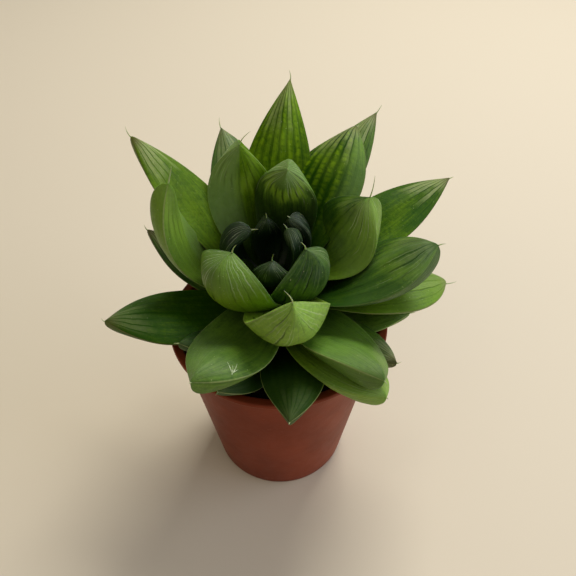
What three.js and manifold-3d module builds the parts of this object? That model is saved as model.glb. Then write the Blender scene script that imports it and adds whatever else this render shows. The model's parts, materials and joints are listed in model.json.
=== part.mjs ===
// Potted haworthia: a rosette of thick boat-shaped leaves on a short stem, in a round plastic pot.
// Millimetres, +Z up. The origin is the middle of the pot's flat base, on the surface it stands on,
// and the photograph looks along +Y.
import * as THREE from 'three';
import { mergeVertices } from 'three/addons/utils/BufferGeometryUtils.js';
import Module from 'manifold-3d';

const wasm = await Module();
wasm.setup();

// Gap kept between neighbouring pieces, how far a leaf's hollow stands off the leaf that presses it,
// the smallest form kept where leaves are cut, and how close two points are to count as one
const GAP = 0.3;
const PRESS_GAP = 0.5;
const FINEST = 0.05;
const MERGE_DISTANCE = 1e-4;

// Pot
const POT_HEIGHT = 51;
const RIM_RADIUS = 27.5;
const BASE_RADIUS = 18.5;
const LIP_OUT = 1.8;
const LIP_DEPTH = 2.4;
const LIP_ROUND = 0.6;
const WALL = 1;
const FLOOR = 1.4;
const FOOT_ROUND = 1.2;
const POT_SIDES = 48;
const DRAIN_RADIUS = 2.4;
const DRAIN_RING = 12;
const DRAIN_COUNT = 4;
const DRAIN_SIDES = 16;

// Soil
const SOIL_LEVEL = 45;
const SOIL_WAVES = [
  { height: 0.35, x: 0.45, y: 0.38, shift: 1.1 },
  { height: 0.3, x: 0.7, y: -0.5, shift: 0 },
  { height: 0.2, x: 0.3, y: 0.9, shift: 1.6 },
  { height: 0.25, x: -0.4, y: 0.35, shift: 0.6 },
];
const SOIL_SIDES = 36;
const SOIL_RINGS = 6;

// Stem, which leans a little to the back as it rises
const STEM_FOOT = 37;
const STEM_TOP = 64.5;
const STEM_RADIUS = 4.4;
const STEM_TIP_RADIUS = 2.2;
const STEM_SIDES = 20;
const STEM_AT_SOIL = new THREE.Vector2(-1, 0);
const LEAN = new THREE.Vector2(-0.5 / 23, 5 / 23);

// Leaf form, as shares of a leaf's length or width
const WIDEST_AT = 0.55;
const BASE_WIDTH = 0.5;
const DEEPEST_AT = 0.72;
const BASE_DEPTH = 0.3;
const SWELL_FROM = 0.3;
const SWELL_AT = 0.78;
const CUP = 0.14;
const CUP_UNTIL = 0.75;
const KEEL_POWER = 1.7;
const SWELL_POWER = 1.6;
const BROADEN_POWER = 1.3;
const KEEL_END_POWER = 2.2;
const ROLL_PACE = 1.2;

// Leaf sizes
const LEAF_ROOT = 2.2;
const LEAF_OFFSET = 4;
const EDGE_THICKNESS = 0.6;
const AWN_LENGTH = 2.4;
const LEAF_STATIONS = [0, 0.14, 0.28, 0.42, 0.55, 0.67, 0.78, 0.87, 0.94, 0.985];
const ACROSS = [1, 0.62, 0, -0.62, -1];
const LEAF_SIDES = 2 * ACROSS.length;
const SPINE_STEPS = 60;

// Each tier of the rosette: how deep a leaf's keel and how high its swollen end are, as shares of
// its width, how bluntly it ends, and its finish
const TIERS = {
  heart: { keel: 0.31, swell: 0.15, taper: 2, color: 0x5f8a3c, roughness: 0.42 },
  upper: { keel: 0.27, swell: 0.15, taper: 2, color: 0x567f35, roughness: 0.42 },
  middle: { keel: 0.25, swell: 0.13, taper: 2, color: 0x4c7a2a, roughness: 0.45 },
  low: { keel: 0.23, swell: 0.1, taper: 2, color: 0x3f6a24, roughness: 0.5 },
};

// One row a leaf, round each tier from the right-hand side. Degrees: heading seen from above from +X,
// rise at the root, rise at the end, roll about its own line, and sideways turn by the end.
// Millimetres: length, width, and the height of its root on the stem. Some leaves end more or less
// bluntly than the rest of their tier, or have a keel or a swelling of their own.
const LEAVES = {
  heart: [
    { heading: 5, rise: 72, end: 112, length: 13, width: 7.5, roll: 0, turn: 0, height: 63 },
    { heading: 33, rise: 44, end: 130, length: 17, width: 8.5, roll: -17, turn: 3, height: 62 },
    { heading: 105, rise: 70, end: 100, length: 13, width: 7.5, roll: 2, turn: 0, height: 62.5 },
    { heading: 173, rise: 21, end: 155, length: 20, width: 10, roll: 5, turn: -14, height: 60.5 },
    {
      heading: 230, rise: 35, end: 96, length: 22.5, width: 22, roll: 1, turn: 0, height: 58.5,
      taper: 3, swell: 0.04,
    },
    { heading: 271, rise: 62, end: 100, length: 10, width: 9.5, roll: 11, turn: -4, height: 61.5 },
    {
      heading: 305, rise: 51, end: 91, length: 22.5, width: 18, roll: 14, turn: 34, height: 57,
      taper: 3, swell: 0.04,
    },
  ],
  upper: [
    { heading: 12, rise: 23, end: 76, length: 29, width: 20.5, roll: -36, turn: -19, height: 62 },
    { heading: 52, rise: 57, end: 22, length: 42.5, width: 21, roll: 5, turn: 5, height: 59 },
    { heading: 69, rise: 39, end: 132, length: 29.5, width: 16, roll: 19, turn: 31, height: 62 },
    {
      heading: 90.5, rise: 48.5, end: 41.5, length: 50.5, width: 17, roll: 0, turn: -14.5, height: 58,
      taper: 1.4,
    },
    { heading: 120, rise: 29, end: 113, length: 35, width: 16.5, roll: 24, turn: 1, height: 60.5 },
    { heading: 173, rise: 13, end: 107, length: 41.5, width: 14.5, roll: -1, turn: 1, height: 55.5 },
    {
      heading: 281, rise: 15, end: 68, length: 28.5, width: 19, roll: -6, turn: -1, height: 59,
      taper: 2.8, keel: 0.34, swell: 0.03,
    },
  ],
  middle: [
    {
      heading: 343, rise: 22, end: 34, length: 38, width: 23.5, roll: 8, turn: 20, height: 58.5,
      taper: 2.9,
    },
    {
      heading: 29.5, rise: 27, end: 2, length: 55.5, width: 15, roll: -20, turn: 9, height: 55.5,
      taper: 1.7,
    },
    { heading: 60.5, rise: 34, end: 29.5, length: 51.5, width: 14, roll: -7, turn: -11, height: 57.5 },
    { heading: 109, rise: 50, end: 29, length: 45, width: 16, roll: 5, turn: 5, height: 54 },
    { heading: 136, rise: 37, end: 32.5, length: 51.5, width: 15, roll: -7, turn: 11.5, height: 54.5 },
    { heading: 196, rise: 6, end: 21, length: 37.5, width: 16.5, roll: 9, turn: 8, height: 53 },
    { heading: 251, rise: 4, end: 24, length: 34.5, width: 19, roll: -6, turn: -14, height: 56.5 },
    { heading: 313, rise: 13, end: 21, length: 38.5, width: 17.5, roll: 25, turn: -20, height: 54.5 },
    {
      heading: 352.5, rise: 15.5, end: -9, length: 39.5, width: 20.5, roll: 6.5, turn: 20, height: 56.5,
      taper: 3.2,
    },
  ],
  low: [
    { heading: 33, rise: 22, end: 10, length: 35, width: 14, roll: 0, turn: 0, height: 48.5 },
    { heading: 67, rise: 27, end: 15, length: 37, width: 15, roll: 1, turn: 0, height: 50.5 },
    { heading: 112, rise: 26, end: 14, length: 37, width: 15, roll: 0, turn: 0, height: 50 },
    { heading: 150, rise: 23, end: 26, length: 37, width: 13, roll: -4, turn: 4, height: 48.5 },
    { heading: 224, rise: 23, end: 36, length: 27, width: 9, roll: 6, turn: -7, height: 47.5 },
    { heading: 256, rise: 9, end: 25, length: 28, width: 11.5, roll: 21, turn: -19, height: 48.5 },
    { heading: 287, rise: 21, end: 10, length: 35, width: 14.5, roll: -3, turn: -25, height: 49 },
    {
      heading: 304, rise: -3, end: 15, length: 37, width: 17.5, roll: 20, turn: 5, height: 55,
      taper: 3.2,
    },
    { heading: 331, rise: 4, end: 13, length: 31.5, width: 13, roll: 8, turn: -19, height: 52 },
    { heading: 348, rise: 2, end: 19, length: 30, width: 10, roll: -6, turn: 8, height: 50.5 },
  ],
};

// Solids

// The closed solid of a geometry: points at one place are merged, and triangles with no area left out.
function solidOf(geometry) {
  geometry.deleteAttribute('normal');
  geometry.deleteAttribute('uv');
  const merged = mergeVertices(geometry, MERGE_DISTANCE);
  const index = merged.index.array;
  const triangles = [];
  for (let i = 0; i < index.length; i += 3) {
    const [a, b, c] = index.slice(i, i + 3);
    if (a !== b && b !== c && c !== a) triangles.push(a, b, c);
  }
  return new wasm.Manifold(new wasm.Mesh({
    numProp: 3,
    vertProperties: new Float32Array(merged.attributes.position.array),
    triVerts: new Uint32Array(triangles),
  }));
}

// A named mesh with its own material, from a solid.
function meshFrom(solid, name, color, roughness) {
  const { vertProperties, triVerts } = solid.getMesh();
  const geometry = new THREE.BufferGeometry();
  geometry.setAttribute('position', new THREE.BufferAttribute(new Float32Array(vertProperties), 3));
  geometry.setIndex(new THREE.BufferAttribute(new Uint32Array(triVerts), 1));
  geometry.computeVertexNormals();
  const material = new THREE.MeshStandardMaterial({ color, roughness, metalness: 0 });
  const mesh = new THREE.Mesh(geometry, material);
  mesh.name = name;
  return mesh;
}

// A turned shape: the profile's points are [radius, height], from the axis round to the axis.
function turned(profile, sides) {
  const points = profile.map(([radius, height]) => new THREE.Vector2(radius, height));
  const geometry = new THREE.LatheGeometry(points, sides);
  geometry.rotateX(Math.PI / 2);
  return geometry;
}

// Leans a shape with the stem: what is higher than the soil moves sideways in step.
function leaned(geometry) {
  const lean = new THREE.Matrix4().set(
    1, 0, LEAN.x, STEM_AT_SOIL.x - LEAN.x * SOIL_LEVEL,
    0, 1, LEAN.y, STEM_AT_SOIL.y - LEAN.y * SOIL_LEVEL,
    0, 0, 1, 0,
    0, 0, 0, 1,
  );
  geometry.applyMatrix4(lean);
  return geometry;
}

// Pot

// The body's outer radius at a height.
function bodyRadius(height) {
  const top = RIM_RADIUS - LIP_OUT;
  return BASE_RADIUS + (top - BASE_RADIUS) * height / (POT_HEIGHT - LIP_DEPTH);
}

function potSolid() {
  const lipBottom = POT_HEIGHT - LIP_DEPTH;
  const profile = [
    [0, 0],
    [BASE_RADIUS - FOOT_ROUND, 0],
    [bodyRadius(FOOT_ROUND), FOOT_ROUND],
    [bodyRadius(lipBottom), lipBottom],
    [RIM_RADIUS - LIP_ROUND / 2, POT_HEIGHT - 2 * LIP_ROUND],
    [RIM_RADIUS, POT_HEIGHT - LIP_ROUND],
    [RIM_RADIUS - LIP_ROUND, POT_HEIGHT],
    [bodyRadius(lipBottom) - WALL / 2, POT_HEIGHT],
    [bodyRadius(lipBottom) - WALL, lipBottom],
    [bodyRadius(FLOOR) - WALL, FLOOR],
    [0, FLOOR],
  ];
  let pot = solidOf(turned(profile, POT_SIDES));
  for (let i = 0; i < DRAIN_COUNT; i += 1) {
    const angle = (i + 0.5) * 2 * Math.PI / DRAIN_COUNT;
    const drain = new THREE.CylinderGeometry(DRAIN_RADIUS, DRAIN_RADIUS, 4 * FLOOR, DRAIN_SIDES);
    drain.rotateX(Math.PI / 2);
    drain.translate(DRAIN_RING * Math.cos(angle), DRAIN_RING * Math.sin(angle), 0);
    pot = pot.subtract(solidOf(drain));
  }
  return pot;
}

// Soil

// The soil's surface: low crumbly rises and dips, where waves cross.
function soilRelief(x, y) {
  return SOIL_WAVES.reduce(
    (height, wave) => height + wave.height * Math.sin(wave.x * x + wave.y * y + wave.shift),
    0,
  );
}

function soilSolid() {
  const foot = FLOOR + GAP;
  const wallGap = WALL + GAP;
  const edge = bodyRadius(SOIL_LEVEL) - wallGap;
  const profile = [[0, foot], [bodyRadius(foot) - wallGap, foot]];
  for (let i = 0; i <= SOIL_RINGS; i += 1) {
    profile.push([edge * (1 - i / SOIL_RINGS), SOIL_LEVEL]);
  }
  const geometry = turned(profile, SOIL_SIDES);
  const place = geometry.attributes.position;
  for (let i = 0; i < place.count; i += 1) {
    if (place.getZ(i) > SOIL_LEVEL - GAP) {
      place.setZ(i, SOIL_LEVEL + soilRelief(place.getX(i), place.getY(i)));
    }
  }
  const hole = turned([
    [0, STEM_FOOT - GAP],
    [STEM_RADIUS + GAP, STEM_FOOT - GAP],
    [STEM_RADIUS + GAP, STEM_TOP],
    [0, STEM_TOP],
  ], STEM_SIDES);
  return solidOf(geometry).subtract(solidOf(leaned(hole)));
}

// Stem

// The stem's solid, made larger all round by the margin.
function stemSolid(margin) {
  const shoulder = STEM_TOP - 2 * STEM_RADIUS;
  const profile = [
    [0, STEM_FOOT - margin],
    [STEM_RADIUS + margin, STEM_FOOT - margin],
    [STEM_RADIUS + margin, shoulder],
    [STEM_TIP_RADIUS + margin, STEM_TOP - 1],
    [0, STEM_TOP + margin],
  ];
  return solidOf(leaned(turned(profile, STEM_SIDES)));
}

// Leaves

function eased(x) {
  const t = Math.min(Math.max(x, 0), 1);
  return t * t * (3 - 2 * t);
}

// Half of the leaf's width at a station: broad at the root, widest past the middle, then to a point.
function widthShare(s, taper) {
  if (s < WIDEST_AT) {
    return BASE_WIDTH + (1 - BASE_WIDTH) * Math.sin(s / WIDEST_AT * Math.PI / 2) ** BROADEN_POWER;
  }
  return 1 - ((s - WIDEST_AT) / (1 - WIDEST_AT)) ** taper;
}

// Depth of the keel under the leaf: thin at the root, deepest towards the end, round at the tip.
function depthShare(s) {
  if (s < DEEPEST_AT) return BASE_DEPTH + (1 - BASE_DEPTH) * eased(s / DEEPEST_AT);
  return Math.sqrt(1 - ((s - DEEPEST_AT) / (1 - DEEPEST_AT)) ** KEEL_END_POWER);
}

// Height of the swollen end above the leaf's face.
function swellShare(s) {
  if (s < SWELL_AT) return eased((s - SWELL_FROM) / (SWELL_AT - SWELL_FROM));
  return Math.sqrt(1 - ((s - SWELL_AT) / (1 - SWELL_AT)) ** 2);
}

// The direction of a leaf's line where it has this rise and heading, in radians.
function direction(rise, heading) {
  return new THREE.Vector3(
    Math.cos(rise) * Math.cos(heading),
    Math.cos(rise) * Math.sin(heading),
    Math.sin(rise),
  );
}

// Place, line, side and face directions of a leaf at a station from 0 at its root to 1 at its tip.
function leafFrame(leaf, s) {
  const rad = Math.PI / 180;
  const at = (t) => direction(
    (leaf.rise + (leaf.end - leaf.rise) * t) * rad,
    (leaf.heading + leaf.turn * t) * rad,
  );
  const place = new THREE.Vector3(
    STEM_AT_SOIL.x + LEAN.x * (leaf.height - SOIL_LEVEL) + LEAF_OFFSET * Math.cos(leaf.heading * rad),
    STEM_AT_SOIL.y + LEAN.y * (leaf.height - SOIL_LEVEL) + LEAF_OFFSET * Math.sin(leaf.heading * rad),
    leaf.height,
  );
  const step = leaf.length * s / SPINE_STEPS;
  for (let i = 0; i < SPINE_STEPS; i += 1) {
    place.addScaledVector(at(s * (i + 0.5) / SPINE_STEPS), step);
  }
  const line = at(s);
  const heading = (leaf.heading + leaf.turn * s) * rad;
  const rise = (leaf.rise + (leaf.end - leaf.rise) * s) * rad;
  const up = direction(rise + Math.PI / 2, heading);
  const side = new THREE.Vector3().crossVectors(line, up);
  const roll = leaf.roll * rad * eased(ROLL_PACE * s);
  side.applyAxisAngle(line, -roll);
  up.applyAxisAngle(line, -roll);
  return { place, line, side, up };
}

// One ring of a leaf's section at a station, moved back along the leaf's line.
function leafRing(leaf, s, back) {
  const { place, line, side, up } = leafFrame(leaf, s);
  place.addScaledVector(line, -back);
  const half = leaf.width / 2 * widthShare(s, leaf.taper);
  const depth = leaf.keel * leaf.width * depthShare(s);
  const swell = leaf.swell * leaf.width * swellShare(s);
  const cup = CUP * leaf.width * (1 - eased(s / CUP_UNTIL));
  const pointAt = (across, height) => (
    place.clone().addScaledVector(side, half * across).addScaledVector(up, height + cup * across ** 2)
  );
  const face = ACROSS.map((across) => (
    pointAt(across, EDGE_THICKNESS / 2 + swell * (1 - Math.abs(across) ** SWELL_POWER))
  ));
  const keel = ACROSS.map((across) => (
    pointAt(-across, -EDGE_THICKNESS / 2 - depth * (1 - Math.abs(across) ** KEEL_POWER))
  ));
  return [...face, ...keel];
}

// One leaf, made larger all round by the margin: a root that reaches into the stem, rings of the
// leaf's section, and a bristle at the tip.
function leafSolid(leaf, margin) {
  const root = leafFrame(leaf, 0);
  const tip = leafFrame(leaf, 1);
  const points = leafRing(leaf, 0, LEAF_ROOT);
  for (const s of LEAF_STATIONS.slice(1)) points.push(...leafRing(leaf, s, 0));
  points.push(root.place.addScaledVector(root.line, -LEAF_ROOT));
  points.push(tip.place.addScaledVector(tip.line, AWN_LENGTH));
  const last = (LEAF_STATIONS.length - 1) * LEAF_SIDES;
  const rootPoint = last + LEAF_SIDES;
  const tipPoint = rootPoint + 1;
  const triangles = [];
  for (let j = 0; j < LEAF_SIDES; j += 1) {
    const k = (j + 1) % LEAF_SIDES;
    triangles.push(rootPoint, j, k);
    for (let a = 0; a < last; a += LEAF_SIDES) {
      const b = a + LEAF_SIDES;
      triangles.push(a + j, b + j, b + k, a + j, b + k, a + k);
    }
    triangles.push(last + j, tipPoint, last + k);
  }
  const geometry = new THREE.BufferGeometry().setFromPoints(points);
  geometry.setIndex(triangles);
  geometry.computeVertexNormals();
  const place = geometry.attributes.position;
  const normal = new THREE.Vector3();
  points.forEach((point, i) => {
    normal.fromBufferAttribute(geometry.attributes.normal, i);
    place.setXYZ(i, ...point.addScaledVector(normal, margin).toArray());
  });
  return solidOf(geometry);
}

// The largest of a solid's separate bodies.
function largestBody(solid) {
  return solid.decompose().reduce((best, body) => (body.volume() > best.volume() ? body : best));
}

// Every leaf, from the top of the stem down. Each is hollowed where a higher leaf presses on it, and
// ends just clear of the stem.
function leafMeshes() {
  const leaves = Object.entries(LEAVES).flatMap(([tier, rows]) => rows.map((row, i) => (
    { ...TIERS[tier], ...row, name: `${tier}_leaf_${String(i + 1).padStart(2, '0')}` }
  )));
  leaves.sort((a, b) => b.height - a.height);
  const higher = [stemSolid(GAP)];
  return leaves.map((leaf) => {
    let solid = leafSolid(leaf, 0);
    for (const other of higher) {
      if (solid.intersect(other).volume() > 0) solid = solid.subtract(other);
    }
    higher.push(leafSolid(leaf, PRESS_GAP));
    return meshFrom(largestBody(solid.simplify(FINEST)), leaf.name, leaf.color, leaf.roughness);
  });
}

const plant = new THREE.Group();
plant.add(...leafMeshes());
plant.add(meshFrom(stemSolid(0), 'stem', 0x6b7a3a, 0.8));

const potted = new THREE.Group();
potted.add(meshFrom(potSolid(), 'pot', 0x8a4a35, 0.5));
potted.add(meshFrom(soilSolid(), 'soil', 0x1d1511, 0.95));
potted.add(plant);

export default potted;
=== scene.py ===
"""A potted haworthia: fine leaves with lined waxy skins and bristles, crumbly soil and a moulded pot."""

import json
import logging
from dataclasses import dataclass, field, fields, replace
from enum import Enum

import bpy
import numpy as np
from mathutils import Vector
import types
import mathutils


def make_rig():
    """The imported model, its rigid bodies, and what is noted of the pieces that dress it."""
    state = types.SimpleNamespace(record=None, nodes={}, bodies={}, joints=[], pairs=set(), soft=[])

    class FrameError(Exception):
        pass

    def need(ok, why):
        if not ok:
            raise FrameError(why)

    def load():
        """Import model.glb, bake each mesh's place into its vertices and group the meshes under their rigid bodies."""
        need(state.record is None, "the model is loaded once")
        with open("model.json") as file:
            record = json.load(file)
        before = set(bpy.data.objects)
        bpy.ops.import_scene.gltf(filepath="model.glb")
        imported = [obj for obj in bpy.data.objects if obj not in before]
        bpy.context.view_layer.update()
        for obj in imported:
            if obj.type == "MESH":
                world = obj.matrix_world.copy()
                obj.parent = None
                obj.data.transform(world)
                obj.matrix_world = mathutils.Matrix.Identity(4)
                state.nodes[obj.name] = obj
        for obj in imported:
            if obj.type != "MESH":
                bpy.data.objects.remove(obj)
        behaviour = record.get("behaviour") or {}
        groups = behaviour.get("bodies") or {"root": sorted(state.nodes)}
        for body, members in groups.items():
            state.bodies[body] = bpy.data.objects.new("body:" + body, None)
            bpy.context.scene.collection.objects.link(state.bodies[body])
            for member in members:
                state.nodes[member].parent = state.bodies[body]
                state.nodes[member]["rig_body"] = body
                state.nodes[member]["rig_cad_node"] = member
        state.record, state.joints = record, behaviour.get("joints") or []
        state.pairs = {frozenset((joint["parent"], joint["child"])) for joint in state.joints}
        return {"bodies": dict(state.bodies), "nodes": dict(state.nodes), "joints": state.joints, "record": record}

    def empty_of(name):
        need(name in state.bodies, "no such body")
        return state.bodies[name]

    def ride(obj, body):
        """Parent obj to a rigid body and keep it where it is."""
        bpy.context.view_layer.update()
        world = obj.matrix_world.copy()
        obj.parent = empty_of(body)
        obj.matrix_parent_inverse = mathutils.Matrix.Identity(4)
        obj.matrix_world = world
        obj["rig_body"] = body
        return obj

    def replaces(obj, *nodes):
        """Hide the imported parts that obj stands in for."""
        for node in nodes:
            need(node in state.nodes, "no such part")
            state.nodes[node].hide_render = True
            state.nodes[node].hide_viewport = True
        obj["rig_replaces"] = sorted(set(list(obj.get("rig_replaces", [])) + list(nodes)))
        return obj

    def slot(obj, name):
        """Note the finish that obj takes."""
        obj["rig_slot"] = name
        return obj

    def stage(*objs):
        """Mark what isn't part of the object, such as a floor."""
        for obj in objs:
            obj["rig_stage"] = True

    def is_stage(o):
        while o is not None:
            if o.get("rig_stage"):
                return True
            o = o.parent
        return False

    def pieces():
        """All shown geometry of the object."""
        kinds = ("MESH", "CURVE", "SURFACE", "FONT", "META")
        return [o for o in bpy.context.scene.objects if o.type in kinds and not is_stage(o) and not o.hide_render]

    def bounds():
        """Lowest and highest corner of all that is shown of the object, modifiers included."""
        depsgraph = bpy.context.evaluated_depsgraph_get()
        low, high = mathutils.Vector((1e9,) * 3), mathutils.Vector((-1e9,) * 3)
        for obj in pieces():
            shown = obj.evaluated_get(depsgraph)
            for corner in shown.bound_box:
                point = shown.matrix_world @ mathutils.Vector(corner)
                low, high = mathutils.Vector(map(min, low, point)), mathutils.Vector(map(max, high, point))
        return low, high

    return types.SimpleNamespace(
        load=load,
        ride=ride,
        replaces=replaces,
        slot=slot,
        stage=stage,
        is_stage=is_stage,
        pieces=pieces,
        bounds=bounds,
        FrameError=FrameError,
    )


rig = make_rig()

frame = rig.load()

LOG = logging.getLogger("potted_haworthia")
MM = 0.001
TURN = 2 * np.pi

Colour = tuple[float, float, float]
Socket = bpy.types.NodeSocket
Array = np.ndarray


def eased(x: Array) -> Array:
    """Rises smoothly from 0 to 1 as x does, by x squared times (3 - 2x), and is level outside."""
    x = np.clip(x, 0, 1)
    return x * x * (3 - 2 * x)


def beyond(x: Array, start: float) -> Array:
    """Rises straight from 0 at a start to 1 at 1, and is level outside."""
    return np.clip((x - start) / (1 - start), 0, 1)


def display(*levels: int) -> Colour:
    """The linear colour of a display colour, by the usual 2.4 power curve with a straight foot.

    Args:
        *levels: Red, green and blue from 0 to 255.

    Returns:
        Linear red, green and blue from 0 to 1.
    """
    shares = np.array(levels) / 255
    linear = np.where(shares <= 0.04045, shares / 12.92, ((shares + 0.055) / 1.055) ** 2.4)
    return tuple(float(share) for share in linear)


class Lumps:
    """Smooth random relief: a lattice of random heights, with an eased blend between its points."""

    SIDE = 64

    def __init__(self, seed: int) -> None:
        """Draws the lattice that the seed picks."""
        self.heights = np.random.default_rng(seed).uniform(-1, 1, (self.SIDE, self.SIDE))

    def at(self, x: Array, y: Array) -> Array:
        """Heights from -1 to 1 at places measured in lattice steps.

        Args:
            x: Places along the first direction.
            y: Places along the second direction.

        Returns:
            The heights.
        """
        column, row = np.floor(x).astype(int), np.floor(y).astype(int)
        across, along = eased(x - column), eased(y - row)
        near, far = (
            self.heights[(row + j) % self.SIDE, column % self.SIDE] * (1 - across)
            + self.heights[(row + j) % self.SIDE, (column + 1) % self.SIDE] * across
            for j in (0, 1)
        )
        return near * (1 - along) + far * along


class Sheet:
    """A closed surface on a grid whose columns run all the way round, with a point at each end."""

    def __init__(self, grid: Array, start: Array, end: Array) -> None:
        """Takes the grid, rows by columns by 3 in millimetres, and the points before and after it."""
        self.rows, self.columns = grid.shape[:2]
        self.points = np.vstack([grid.reshape(-1, 3), start, end])

    def faces(self) -> tuple[Array, Array]:
        """Four-sided faces between rows and a fan of triangles at each end, turned outwards.

        A face joins columns j and j + 1 of rows i and i + 1. The sum of the corner tetrahedra tells
        whether the faces point in, and if so their order is reversed.

        Returns:
            The four-sided faces and the triangles, as rows of point numbers.
        """
        columns = np.arange(self.columns)
        onward = (columns + 1) % self.columns
        base = (np.arange(self.rows - 1) * self.columns)[:, None]
        next_base = base + self.columns
        corners = [base + columns, next_base + columns, next_base + onward, base + onward]
        quads = np.stack(corners, -1).reshape(-1, 4)
        last = (self.rows - 1) * self.columns
        start, end = (np.full(self.columns, self.rows * self.columns + i) for i in (0, 1))
        first_fan = np.stack([start, columns, onward], -1)
        fans = np.vstack([first_fan, np.stack([last + columns, end, last + onward], -1)])
        triangles = np.vstack([quads[:, :3], quads[:, [0, 2, 3]], fans])
        a, b, c = (self.points[triangles[:, i]] for i in range(3))
        if np.einsum("ij,ij->i", a, np.cross(b, c)).sum() < 0:
            quads, fans = quads[:, ::-1], fans[:, ::-1]
        return quads, fans


def placed(name: str, data: bpy.types.ID) -> bpy.types.Object:
    """Puts a mesh, a light or a camera into the scene as an object.

    Args:
        name: The object's name.
        data: What it shows.

    Returns:
        The object.
    """
    thing = bpy.data.objects.new(name, data)
    bpy.context.collection.objects.link(thing)
    return thing


def build_piece(
    name: str,
    sheets: list[Sheet],
    map_values: Array | None = None,
    values: dict[str, Array] | None = None,
) -> bpy.types.Object:
    """Puts closed surfaces into one smooth mesh object, with its place in its mesh.

    Args:
        name: The piece's name.
        sheets: The surfaces.
        map_values: Two values a point for the mesh's own map, if it has one.
        values: Further named values, one a point.

    Returns:
        The object, at the origin.
    """
    points = np.vstack([sheet.points for sheet in sheets]) * MM
    before = np.cumsum([0] + [len(sheet.points) for sheet in sheets])
    faces = [[part + first for part in sheet.faces()] for sheet, first in zip(sheets, before)]
    quads, fans = (np.vstack(parts) for parts in zip(*faces))
    corners = np.concatenate([quads.ravel(), fans.ravel()]).astype(np.int32)
    starts = [np.arange(len(quads)) * 4, quads.size + np.arange(len(fans)) * 3]
    starts = np.concatenate(starts).astype(np.int32)
    mesh = bpy.data.meshes.new(name)
    mesh.vertices.add(len(points))
    mesh.vertices.foreach_set("co", points.astype(np.float32).ravel())
    mesh.loops.add(len(corners))
    mesh.loops.foreach_set("vertex_index", corners)
    mesh.polygons.add(len(starts))
    mesh.polygons.foreach_set("loop_start", starts)
    mesh.polygons.foreach_set("use_smooth", np.ones(len(starts), bool))
    mesh.update(calc_edges=True)
    if map_values is not None:
        layer = mesh.uv_layers.new(name="surface")
        layer.data.foreach_set("uv", map_values[corners].astype(np.float32).ravel())
    for key, data in (values or {}).items():
        attribute = mesh.attributes.new(key, "FLOAT", "POINT")
        attribute.data.foreach_set("value", np.asarray(data, np.float32))
    mesh.validate()
    return placed(name, mesh)


def finish_piece(
    piece: bpy.types.Object, material: bpy.types.Material, slot: str, *nodes: str
) -> None:
    """Dresses a piece and ties it to the body and to the nodes that it stands for.

    Args:
        piece: The piece.
        material: Its material.
        slot: Its slot of the record.
        *nodes: The nodes that it stands for.
    """
    piece.data.materials.append(material)
    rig.ride(piece, "root")
    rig.slot(piece, slot)
    if nodes:
        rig.replaces(piece, *nodes)
    LOG.info("%s: %d faces", piece.name, len(piece.data.polygons))


class Value:
    """A number or a colour that a material's nodes work out, with the usual signs of arithmetic."""

    def __init__(self, board: "Board", socket: Socket) -> None:
        """Takes the board and the output that carries the value."""
        self.board, self.socket = board, socket

    def __add__(self, other: "Value | float") -> "Value":
        """Both added."""
        return self.board.worked("ADD", self, other)

    def __sub__(self, other: "Value | float") -> "Value":
        """This less the other."""
        return self.board.worked("SUBTRACT", self, other)

    def __rsub__(self, other: float) -> "Value":
        """A number less this."""
        return self.board.worked("SUBTRACT", other, self)

    def __mul__(self, other: "Value | float") -> "Value":
        """Both multiplied."""
        return self.board.worked("MULTIPLY", self, other)

    def __abs__(self) -> "Value":
        """This without its sign."""
        return self.board.worked("ABSOLUTE", self)

    def __round__(self) -> "Value":
        """The nearest whole number."""
        return self.board.worked("ROUND", self)

    def floored(self) -> "Value":
        """The next whole number below."""
        return self.board.worked("FLOOR", self)

    def rise(self, low: "Value | float", high: "Value | float") -> "Value":
        """An eased rise from 0 where this is low to 1 where it is high."""
        feeds = {0: self, 1: low, 2: high}
        return self.board.made("MapRange", feeds, interpolation_type="SMOOTHSTEP")

    def fall(self, low: "Value | float", high: "Value | float") -> "Value":
        """An eased fall from 1 to 0: one less the rise."""
        return 1.0 - self.rise(low, high)

    def scaled(self, low: float, high: float) -> "Value":
        """A value from 0 to 1 carried straight to the range from low to high."""
        return self.board.worked("MULTIPLY_ADD", self, high - low, low)

    def beside(self, output: int | str) -> "Value":
        """Another output of the same node."""
        return Value(self.board, self.socket.node.outputs[output])


Source = Value | float | Colour


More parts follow.
